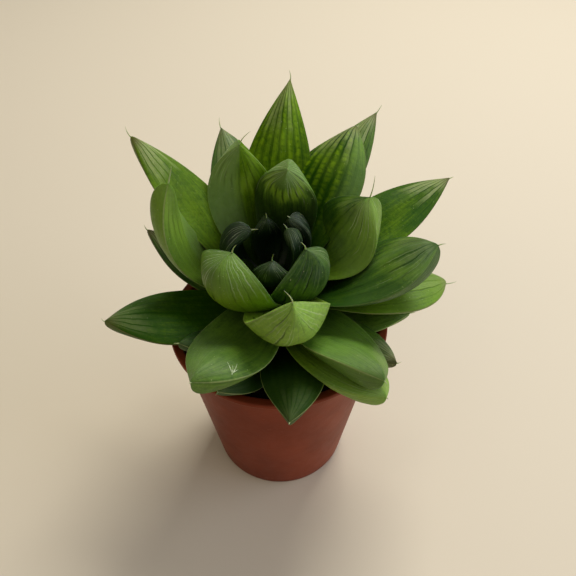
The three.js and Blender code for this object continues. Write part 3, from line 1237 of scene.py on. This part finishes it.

# Heading, rise, end, length, width, roll, turn, height, look, tone, warmth, bristle, painted sheen, own form
LEAF_PLANS: dict[Tier, list[LeafPlan]] = {
    Tier.HEART: [
        LeafPlan(5, 72, 112, 13, 7.5, 0, 0, 63, Look.FROSTED, -1, 0.2,
                 Bristle(2, 0.3, 0.2), PaintedSheen(0.3, 0.3, 0.3, 0.7)),
        LeafPlan(33, 44, 130, 17, 8.5, -17, 3, 62, Look.FROSTED, -1.1, 0,
                 Bristle(1.6, 0.4, 0.2), PaintedSheen(0.2, 0.2, 0.2, 0.75)),
        LeafPlan(105, 70, 100, 13, 7.5, 2, 0, 62.5, Look.FROSTED, -1, 0,
                 Bristle(2.2, -0.3, 0.2), PaintedSheen(0.2, 0.2, 0.2, 0.7)),
        LeafPlan(173, 21, 155, 20, 10, 5, -14, 60.5, Look.FROSTED, -1, 0,
                 Bristle(1.8, 0.3, 0.3), PaintedSheen(0.2, 0.2, 0.2, 0.75)),
        LeafPlan(230, 35, 96, 22.5, 22, 1, 0, 58.5, Look.FANNED, 0.5, 0.75,
                 Bristle(2.5, -0.9, 0.4, 0.17), PaintedSheen(0.6, 0.8, 0.9, 0.68),
                 {"rib": 0.06, "taper": 3, "swell": 0.04}),
        LeafPlan(271, 62, 100, 10, 9.5, 11, -4, 61.5, Look.FROSTED, -0.9, 0.1,
                 Bristle(1.8, -0.3, 0.2), PaintedSheen(0.3, 0.3, 0.3, 0.6)),
        LeafPlan(305, 51, 91, 22.5, 18, 14, 34, 57, Look.FANNED, -0.3, 0.5,
                 Bristle(2.6, 1.1, 0.7, 0.17), PaintedSheen(0.5, 0.15, 0.02, 0.5), {"taper": 3, "swell": 0.04}),
    ],
    Tier.UPPER: [
        LeafPlan(12, 23, 76, 29, 20.5, -36, -19, 62, Look.STREAKED, 0, 0.85,
                 Bristle(5.4, -1.1, 0.1), PaintedSheen(0.05, 0.3, 0.45, 0.35, 0.9)),
        LeafPlan(52, 57, 22, 42.5, 21, 5, 5, 59, Look.NETTED, -0.7, 1,
                 Bristle(0.9, 0.1, 0), PaintedSheen(0, 0.2, 0.5, 0.3, 0, 0.5)),
        LeafPlan(69, 39, 132, 29.5, 16, 19, 31, 62, Look.LIT, 0.1, 0.5,
                 Bristle(0.6, 0.1, 0), PaintedSheen(0.75, 0.6, 0.75, 0.72), {"rib": 0.1}),
        LeafPlan(90.5, 48.5, 41.5, 50.5, 17, 0, -14.5, 58, Look.NETTED, -0.2, 1,
                 Bristle(2.5, -0.8, 0.1), PaintedSheen(0, 0, 0), {"taper": 1.4}),
        LeafPlan(120, 29, 113, 35, 16.5, 24, 1, 60.5, Look.LINED, 0, 0.95,
                 Bristle(4.6, 1.9, -0.2), PaintedSheen(1, 0.5, 0, 0.15, 0, -0.06)),
        LeafPlan(173, 13, 107, 41.5, 14.5, -1, 1, 55.5, Look.HOODED, 0.6, 0.6,
                 Bristle(4.5, 0.4, -0.1, 0.2), PaintedSheen(0.1, 0.1, 0.6, 0.3)),
        LeafPlan(281, 15, 68, 28.5, 19, -6, -1, 59, Look.SPECKLED, 1.3, 0.6,
                 Bristle(4.7, 1.8, 1.2, 0.18), PaintedSheen(0.4, 0.4, 0.4, 0.6),
                 {"taper": 2.8, "keel": 0.34, "swell": 0.03, "blunt": 0.45}),
    ],
    Tier.MIDDLE: [
        LeafPlan(343, 22, 34, 38, 23.5, 8, 20, 58.5, Look.STREAKED, -0.7, 0.8,
                 Bristle(1.7, 0.4, -0.3), PaintedSheen(0.1, 0.6, 0.2, 0.35), {"rib": 0.13, "taper": 2.9}),
        LeafPlan(29.5, 27, 2, 55.5, 15, -20, 9, 55.5, Look.WINDOWED, -0.4, 1,
                 Bristle(1.9, 0.1, -0.2), PaintedSheen(0.1, 0, 0.1), {"taper": 1.7}),
        LeafPlan(60.5, 34, 29.5, 51.5, 14, -7, -11, 57.5, Look.WINDOWED, 0, 0.6,
                 Bristle(2.8, -0.1, 0), PaintedSheen(0.3, 0.1, 0.1, 0.6)),
        LeafPlan(109, 50, 29, 45, 16, 5, 5, 54, Look.HAZY, 0.1, 0.3, Bristle(3.3, 0.7, 0.1)),
        LeafPlan(136, 37, 32.5, 51.5, 15, -7, 11.5, 54.5, Look.WINDOWED, 0.1, 0.8,
                 Bristle(3, 0.9, 0.5), PaintedSheen(0, 0, 0)),
        LeafPlan(196, 6, 21, 37.5, 16.5, 9, 8, 53, Look.STRIPED, -0.7, 1,
                 Bristle(0.8, 0.7, 0.4), PaintedSheen(0.1, 0, 0.2)),
        LeafPlan(251, 4, 24, 34.5, 19, -6, -14, 56.5, Look.SMOOTH, 0.1, 0.5,
                 Bristle(0.5, 0.1, 0), PaintedSheen(0, 0.3, 0.6, 0.45)),
        LeafPlan(313, 13, 21, 38.5, 17.5, 25, -20, 54.5, Look.SMOOTH, 0.2, 0.45,
                 Bristle(1.2, 0.2, 0.1), PaintedSheen(0, 0.2, 0.3, 0.5)),
        LeafPlan(352.5, 15.5, -9, 39.5, 20.5, 6.5, 20, 56.5, Look.STRIPED, 0.4, 0.72,
                 Bristle(3.1, -0.4, 0.3), PaintedSheen(0.2, 0.2, 0.2), {"rib": 0.08, "taper": 3.2}),
    ],
    Tier.LOW: [
        LeafPlan(33, 22, 10, 35, 14, 0, 0, 48.5, Look.WINDOWED, 0, 0.5),
        LeafPlan(67, 27, 15, 37, 15, 1, 0, 50.5, Look.WINDOWED, 0, 0.5),
        LeafPlan(112, 26, 14, 37, 15, 0, 0, 50, Look.WINDOWED, 0, 0.5),
        LeafPlan(150, 23, 26, 37, 13, -4, 4, 48.5, Look.WINDOWED, -0.2, 0.5, Bristle(1.6, 0.7, 0.2)),
        LeafPlan(224, 23, 36, 27, 9, 6, -7, 47.5, Look.PLAIN, -0.7, 0.5),
        LeafPlan(256, 9, 25, 28, 11.5, 21, -19, 48.5, Look.PLAIN, -1.2, 0.7, Bristle(1.2, -0.4, -0.2)),
        LeafPlan(287, 21, 10, 35, 14.5, -3, -25, 49, Look.PLAIN, -1.4, 1, Bristle(0.6, 0, 0)),
        LeafPlan(304, -3, 15, 37, 17.5, 20, 5, 55, Look.STREAKED, 1, 0.7,
                 Bristle(0.6, 0.1, 0), PaintedSheen(0.35, 0.35, 0.5), {"rib": 0.1, "taper": 3.2}),
        LeafPlan(331, 4, 13, 31.5, 13, 8, -19, 52, Look.WINDOWED, -0.1, 0.5, Bristle(0.9, -0.6, 0.6)),
        LeafPlan(348, 2, 19, 30, 10, -6, 8, 50.5, Look.SMOOTH, 0.1, 0.6),
    ],
}


@dataclass(frozen=True)
class Rosette:
    """All the leaves, in tiers.

    Attributes:
        stem: The line that they grow from.
        scarred: The leaf that carries the scratches.
        seed_step: How far apart the seeds of two tiers are.
    """

    stem: StemLine
    scarred: str = "middle_leaf_07"
    seed_step: int = 100

    def build(self) -> None:
        """Builds and dresses every leaf."""
        for number, (tier, plans) in enumerate(LEAF_PLANS.items(), 1):
            skin, slot = LEAF_SKINS[tier].material(), f"{tier.value}_leaf"
            for i, plan in enumerate(plans, 1):
                node = f"{slot}_{i:02d}"
                leaf = Leaf(plan, LEAF_FORMS[tier], self.stem, seed=self.seed_step * number + i)
                finish_piece(leaf.build(f"{node}_blade"), skin, slot, node)
                if node == self.scarred:
                    Scar().build(f"{node}_scar", slot, leaf)


def turned(profile: Array, sides: int) -> Sheet:
    """A turned surface: each profile point is carried round the upright axis.

    Args:
        profile: Rows of radius and height in millimetres, the first and last on the axis.
        sides: How many steps the turn has.

    Returns:
        The surface.
    """
    angle = np.arange(sides) / sides * TURN
    radius, height = profile[1:-1, 0, None], profile[1:-1, 1, None]
    grid = np.stack([radius * np.cos(angle), radius * np.sin(angle), height + 0 * angle], -1)
    ends = [np.array([0, 0, profile[i, 1]]) for i in (0, -1)]
    return Sheet(grid, *ends)


def rounded(corners: list[tuple[float, float, float]], steps: int = 6, spacing: float = 4.0) -> Array:
    """A profile through corners, each rounded by a curve that is a blend of its two legs.

    Near a corner the curve is the usual three-point one: the leg's start, the corner and the leg's
    end weighted by (1 - t) squared, 2t(1 - t) and t squared. Long straights get points as well.

    Args:
        corners: Radius, height and rounding of each corner, in millimetres.
        steps: How many steps each rounding has.
        spacing: The greatest distance between points on a straight.

    Returns:
        The profile's points.
    """
    places = np.array([corner[:2] for corner in corners])
    t = np.linspace(0, 1, steps + 1)[:, None]
    pieces = [places[:1]]
    for i in range(1, len(corners) - 1):
        here, reach = places[i], corners[i][2]
        back, onward = places[i - 1] - here, places[i + 1] - here
        start = here + back / np.linalg.norm(back) * reach
        end = here + onward / np.linalg.norm(onward) * reach
        pieces.append((1 - t) ** 2 * start + 2 * t * (1 - t) * here + t**2 * end)
    pieces.append(places[-1:])
    path = np.vstack(pieces)
    gaps = np.linalg.norm(np.diff(path, axis=0), axis=1)
    path = path[np.concatenate([[True], gaps > 1e-6])]
    distance = np.concatenate([[0], np.cumsum(np.linalg.norm(np.diff(path, axis=0), axis=1))])
    counts = np.maximum(np.ceil(np.diff(distance) / spacing).astype(int), 1)
    stops = np.concatenate(
        [np.linspace(a, b, n, endpoint=False) for a, b, n in zip(distance, distance[1:], counts)]
        + [distance[-1:]]
    )
    return np.stack([np.interp(stops, distance, path[:, i]) for i in (0, 1)], -1)


@dataclass(frozen=True)
class Pot:
    """The round tapered plastic pot, in millimetres.

    Attributes:
        height: Its height.
        rim: Outer radius of the lip.
        base: Outer radius at the foot.
        lip_out: How far the lip stands out.
        lip_depth: How deep it is.
        lip_face: How far down its outer face reaches before it slopes in.
        lip_inset: How much narrower that face is at its top.
        lip_step: How far the wall's top stands in from the body's outside.
        wall: Thickness of the wall.
        floor: Thickness of the floor.
        drain_ring: Radius of the ring of drainage holes.
        drain_radius: Radius of each hole.
        drains: How many holes there are.
        drain_sides: How many steps each hole's turn has.
        sides: How many steps the pot's turn has.
        crease: The angle from which an edge looks sharp, in degrees.
    """

    height: float = 51.0
    rim: float = 27.5
    base: float = 18.5
    lip_out: float = 1.8
    lip_depth: float = 2.4
    lip_face: float = 1.1
    lip_inset: float = 0.15
    lip_step: float = 0.45
    wall: float = 1.0
    floor: float = 1.4
    drain_ring: float = 12.0
    drain_radius: float = 2.4
    drains: int = 4
    drain_sides: int = 32
    sides: int = 192
    crease: float = 40.0

    def radius(self, height: float) -> float:
        """Outer radius of the body, which widens evenly from the foot to the lip."""
        top = self.rim - self.lip_out
        return self.base + (top - self.base) * height / (self.height - self.lip_depth)

    def profile(self) -> Array:
        """The wall's section, from the axis under the floor round to the axis over it.

        Returns:
            Its points, with each corner rounded.
        """
        under = self.height - self.lip_depth
        return rounded(
            [
                (0, 0, 0),
                (self.base, 0, 1.2),
                (self.radius(under), under, 0.9),
                (self.rim, self.height - self.lip_face, 0.45),
                (self.rim - self.lip_inset, self.height, 0.45),
                (self.radius(under) - self.lip_step, self.height, 0.6),
                (self.radius(under) - self.wall, under, 0.8),
                (self.radius(self.floor) - self.wall, self.floor, 1.0),
                (0, self.floor, 0),
            ]
        )

    def drill(self, piece: bpy.types.Object) -> None:
        """Cuts the drainage holes, with a ring of upright rods.

        Args:
            piece: The pot.
        """
        reach, radius = 2 * self.floor, self.drain_radius
        rod = np.array([[0, -reach], [radius, -reach], [radius, reach], [0, reach]])
        rods = []
        for i in range(self.drains):
            angle = (i + 0.5) * TURN / self.drains
            sheet = turned(rod, self.drain_sides)
            sheet.points += self.drain_ring * np.array([np.cos(angle), np.sin(angle), 0])
            rods.append(sheet)
        cutter = build_piece("drain_cutter", rods)
        cut = piece.modifiers.new("drains", "BOOLEAN")
        cut.object, cut.operation, cut.solver = cutter, "DIFFERENCE", "EXACT"
        drilled = piece.evaluated_get(bpy.context.evaluated_depsgraph_get())
        drilled = bpy.data.meshes.new_from_object(drilled)
        piece.modifiers.clear()
        piece.data = drilled
        cutter_mesh = cutter.data
        bpy.data.objects.remove(cutter)
        bpy.data.meshes.remove(cutter_mesh)

    def material(self) -> bpy.types.Material:
        """Terracotta-brown moulded plastic: faint clouds, fine grain, small pale scuffs, soft gloss.

        Returns:
            The material.
        """
        board = Board("terracotta_plastic")
        clouds, scuff = board.grain(14.0, 3.0), board.grain(2.2, 5.0)
        brown = board.blend(clouds.rise(0.3, 0.7), display(116, 49, 26), display(133, 60, 35))
        return board.dress(
            {
                "Base Color": board.blend(scuff.rise(0.62, 0.8) * 0.2, brown, display(168, 112, 90)),
                "Roughness": scuff.scaled(0.38, 0.55),
                "Specular IOR Level": 0.12,
                "Subsurface Weight": 0.12,
                "Subsurface Radius": (1.0, 0.35, 0.2),
                "Subsurface Scale": 1.2 * MM,
                "Normal": board.raised(board.grain(0.5) * 0.5 + clouds, 0.05),
            }
        )

    def build(self) -> None:
        """Builds, drills and dresses the pot."""
        piece = build_piece("pot_body", [turned(self.profile(), self.sides)])
        self.drill(piece)
        piece.data.set_sharp_from_angle(angle=np.radians(self.crease))
        finish_piece(piece, self.material(), "pot", "pot")


@dataclass(frozen=True)
class Soil:
    """The dark, crumbly potting soil, in millimetres.

    Attributes:
        pot: The pot that holds it.
        level: Mean height of its surface.
        relief: Height of its larger lumps.
        layers: Seed, size, shift and share of the height of each layer of lumps.
        gap: Clearance from the pot.
        shoulder: How far under its surface its upright side ends.
        rings: How many rings its surface has.
        sides: How many steps its turn has.
        crumbs: How many loose crumbs lie on it.
        crumb: Radius of the smallest crumb.
        crumb_range: How much larger the largest one is.
        crumb_push: The least and greatest share by which a crumb's points are pushed in or out.
        crumb_stretch: The least and greatest stretch of a crumb.
        crumb_lift: How far a crumb's middle lies over the surface, as a share of its radius.
        margin: How far the crumbs stay from the pot's wall.
    """

    pot: Pot
    level: float = 45.0
    relief: float = 0.7
    layers: tuple[tuple[int, float, float, float], ...] = (
        (11, 7.0, 20, 0.7),
        (12, 2.6, 20, 0.55),
        (13, 1.1, 30, 0.4),
    )
    gap: float = 0.3
    shoulder: float = 1.5
    rings: int = 72
    sides: int = 220
    crumbs: int = 900
    crumb: float = 0.22
    crumb_range: float = 0.75
    crumb_push: tuple[float, float] = (0.72, 1.25)
    crumb_stretch: tuple[float, float] = (0.7, 1.3)
    crumb_lift: float = 0.25
    margin: float = 1.6

    def surface_height(self, x: Array, y: Array) -> Array:
        """Height of the surface: three layers of smooth random relief, each finer and lower.

        Args:
            x: Places towards +X.
            y: Places towards +Y.

        Returns:
            The height at each place.
        """
        lumps = (
            share * Lumps(seed).at(x / size + shift, y / size + shift)
            for seed, size, shift, share in self.layers
        )
        return self.level + self.relief * sum(lumps)

    def body(self) -> Sheet:
        """The soil's block: a turned form whose top rings follow the surface's relief.

        Returns:
            Its surface.
        """
        inset, foot = self.pot.wall + self.gap, self.pot.floor + self.gap
        edge = self.pot.radius(self.level) - inset
        sides = [[0, foot], [self.pot.radius(foot) - inset, foot], [edge, self.level - self.shoulder]]
        rings = np.linspace(edge, 0, self.rings)
        top = np.stack([rings, np.full(self.rings, self.level)], -1)
        sheet = turned(np.vstack([sides, top]), self.sides)
        x, y, z = sheet.points.T
        upper = z > self.level - self.shoulder / 2
        z[upper] = self.surface_height(x[upper], y[upper])
        return sheet

    def loose(self) -> list[Sheet]:
        """Loose crumbs: small balls whose points are pushed in and out at random, partly sunk.

        Returns:
            Their surfaces.
        """
        chance = np.random.default_rng(5)
        rows, columns = 5, 9
        lie = np.linspace(0, np.pi, rows + 2)[1:-1, None]
        angle = np.arange(columns) / columns * TURN
        ball = [np.sin(lie) * np.cos(angle), np.sin(lie) * np.sin(angle), np.cos(lie) + 0 * angle]
        ball = np.stack(ball, -1)
        reach = self.pot.radius(self.level) - self.pot.wall - self.margin
        pieces = []
        for _ in range(self.crumbs):
            distance = reach * np.sqrt(chance.uniform())
            turn = chance.uniform(0, TURN)
            x, y = distance * np.cos(turn), distance * np.sin(turn)
            size = self.crumb + self.crumb_range * chance.uniform() ** 3
            middle = np.array([x, y, self.surface_height(x, y) + self.crumb_lift * size])
            rough = chance.uniform(*self.crumb_push, (rows, columns, 1))
            stretch = size * chance.uniform(*self.crumb_stretch, 3)
            ends = [middle + np.array([0, 0, sign]) * stretch for sign in (1, -1)]
            pieces.append(Sheet(middle + ball * rough * stretch, *ends))
        return pieces

    def material(self, name: str, light: float) -> bpy.types.Material:
        """Peaty brown-black with paler fibres and grains.

        Args:
            name: The material's name.
            light: How much paler than the soil's body it is.

        Returns:
            The material.
        """
        board = Board(name)
        clods, grit = board.grain(2.4, 4.0), board.grain(0.5, 3.0)
        peat = board.blend(clods.rise(0.3, 0.75), display(22, 16, 12), display(52, 38, 28))
        grains = grit.rise(0.6, 0.75) * (0.3 + light)
        return board.dress(
            {
                "Base Color": board.blend(grains, peat, display(96, 76, 56)),
                "Roughness": grit.scaled(0.8, 1.0),
                "Normal": board.raised(clods * 0.6 + grit, 0.5),
            }
        )

    def build(self) -> None:
        """Builds and dresses the soil and its crumbs."""
        body, crumbs = build_piece("soil_fill", [self.body()]), build_piece("soil_crumbs", self.loose())
        finish_piece(body, self.material("peat", 0.0), "soil", "soil")
        finish_piece(crumbs, self.material("peat_crumbs", 0.25), "soil")


@dataclass(frozen=True)
class Stem:
    """The short stem that carries the leaves, in millimetres.

    Attributes:
        line: The line that it follows.
        foot: Height of its lower end, in the soil.
        top: Height of its tip.
        radius: Its radius.
        tip_radius: Its radius near the tip.
        scar_depth: How deep its leaf scars are.
        scar_spacing: How far apart they are.
        green_from: Height where its bark starts to go over into dark green.
        green_at: Height where it has.
        rings: How many rings its side has.
        sides: How many steps its turn has.
    """

    line: StemLine
    foot: float = 37.0
    top: float = 64.5
    radius: float = 4.4
    tip_radius: float = 2.2
    scar_depth: float = 0.24
    scar_spacing: float = 1.7
    green_from: float = 56.0
    green_at: float = 61.0
    rings: int = 60
    sides: int = 64

    def surface(self) -> Sheet:
        """A turned form that narrows to its tip, with a cosine of shallow scars, leaned along its line.

        Returns:
            Its surface.
        """
        height = np.linspace(self.foot, self.top - 1, self.rings)
        narrowing = eased((height - (self.top - 2 * self.radius)) / (2 * self.radius))
        radius = self.radius + (self.tip_radius - self.radius) * narrowing
        radius = radius - self.scar_depth / 2 * (1 + np.cos(TURN * height / self.scar_spacing))
        profile = np.vstack([[0, self.foot], np.stack([radius, height], -1), [0, self.top]])
        sheet = turned(profile, self.sides)
        x, y = self.line.at(sheet.points[:, 2])
        sheet.points += np.stack([x, y, 0 * x], -1)
        return sheet

    def material(self) -> bpy.types.Material:
        """Pale bark, which goes over into dark green between the leaves.

        Returns:
            The material.
        """
        board = Board("stem_skin")
        streak = board.grain(1.5, 3.0)
        height = board.made("SeparateXYZ", {0: board.place()}, output=2)
        bark = board.blend(streak.rise(0.3, 0.7), display(112, 104, 66), display(138, 134, 88))
        green = height.rise(self.green_from * MM, self.green_at * MM)
        return board.dress(
            {
                "Base Color": board.blend(green, bark, display(18, 34, 10)),
                "Roughness": streak.scaled(0.65, 0.85),
                "Normal": board.raised(streak, 0.2),
            }
        )

    def build(self) -> None:
        """Builds and dresses the stem."""
        finish_piece(build_piece("stem_core", [self.surface()]), self.material(), "stem", "stem")


@dataclass(frozen=True)
class Lamp:
    """A soft square light.

    Attributes:
        name: Its name.
        place: Where it is, in metres.
        size: Its side, in metres.
        power: Its power, in watts.
        tint: Its colour.
    """

    name: str
    place: tuple[float, float, float]
    size: float
    power: float
    tint: Colour

    def build(self, target: Vector) -> None:
        """Makes the light and turns it to its target.

        Args:
            target: What it shines on.
        """
        data = bpy.data.lights.new(self.name, "AREA")
        data.shape, data.size, data.energy, data.color = "SQUARE", self.size, self.power, self.tint
        lamp = placed(self.name, data)
        lamp.location = self.place
        lamp.rotation_euler = (target - lamp.location).to_track_quat("-Z", "Y").to_euler()


@dataclass(frozen=True)
class Studio:
    """The floor, the lights and the camera.

    Attributes:
        lamps: The lamps.
        target: What they shine on, in metres.
        sky: Colour and strength of the faint even light.
        floor_side: Half the floor's side, in metres.
        floor_colour: The floor's colour.
        eye: The camera's place, in millimetres.
        down: How far it looks down, in degrees.
        focal_pixels: Its fitted focal length, in pixels of the frame.
        frame_pixels: The frame's width.
        sensor: The sensor's width, in millimetres.
        nearest: How near the camera sees, in metres.
    """

    lamps: tuple[Lamp, ...] = (
        Lamp("window", (0.24, 0.50, 0.80), 0.42, 6.5, (1.0, 1.0, 0.95)),
        Lamp("ceiling", (0.0, 0.0, 1.0), 1.2, 1.0, (1.0, 1.0, 1.0)),
        Lamp("side_window", (0.70, -0.02, 0.44), 0.6, 1.8, (0.86, 0.96, 1.22)),
        Lamp("low_window", (0.60, -0.42, 0.20), 0.4, 1.0, (0.97, 0.97, 1.05)),
        Lamp("warm_wall", (-0.50, -0.60, 0.70), 0.9, 1.3, (1.0, 0.88, 0.62)),
    )
    target: tuple[float, float, float] = (0.0, 0.0, 0.05)
    sky: tuple[Colour, float] = ((1.0, 0.95, 0.87), 0.13)
    floor_side: float = 2.5
    floor_colour: Colour = display(226, 212, 188)
    eye: tuple[float, float, float] = (2.36, -104.0, 162.0)
    down: float = 44.2
    focal_pixels: float = 600.0
    frame_pixels: float = 576.0
    sensor: float = 36.0
    nearest: float = 0.005

    def floor(self) -> None:
        """A wide level floor of one pale warm colour."""
        mesh, side = bpy.data.meshes.new("floor"), self.floor_side
        corners = [(-side, -side, 0), (side, -side, 0), (side, side, 0), (-side, side, 0)]
        mesh.from_pydata(corners, [], [(0, 1, 2, 3)])
        material = Board("pale_floor").dress({"Base Color": self.floor_colour, "Roughness": 0.7})
        mesh.materials.append(material)
        floor = placed("floor", mesh)
        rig.stage(floor)

    def camera(self) -> None:
        """A camera at the photograph's height, distance and tilt.

        Its focal length is the fitted one in pixels over the frame's width, times the sensor's.
        """
        data = bpy.data.cameras.new("camera")
        data.sensor_width = self.sensor
        data.lens = self.sensor * self.focal_pixels / self.frame_pixels
        data.clip_start = self.nearest
        camera = placed("camera", data)
        camera.location = Vector(self.eye) * MM
        ahead = Vector((0, np.cos(np.radians(self.down)), -np.sin(np.radians(self.down))))
        camera.rotation_euler = ahead.to_track_quat("-Z", "Y").to_euler()
        bpy.context.scene.camera = camera

    def build(self) -> None:
        """Builds the floor, a faint even light, the lamps and the camera."""
        self.floor()
        world = bpy.data.worlds.new("room_light")
        world.use_nodes = True
        sky = next(n for n in world.node_tree.nodes if n.type == "BACKGROUND")
        sky.inputs["Color"].default_value = (*self.sky[0], 1.0)
        sky.inputs["Strength"].default_value = self.sky[1]
        bpy.context.scene.world = world
        bpy.context.scene.view_settings.view_transform = "Standard"
        for lamp in self.lamps:
            lamp.build(Vector(self.target))
        self.camera()


def main() -> None:
    """Builds the pot, the soil, the stem, the leaves and the studio, and notes both sizes."""
    logging.basicConfig(level=logging.INFO, format="%(name)s %(message)s")
    cad_box = [[float(value) for value in corner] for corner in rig.bounds()]
    stem_line = StemLine()
    pot = Pot()
    pot.build()
    Soil(pot).build()
    Stem(stem_line).build()
    Rosette(stem_line).build()
    Studio().build()
    visual_box = [[float(value) for value in corner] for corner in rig.bounds()]
    with open("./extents.json", "w", encoding="utf-8") as file:
        json.dump({"cad": cad_box, "visual": visual_box}, file)


if __name__ == "__main__":
    main()
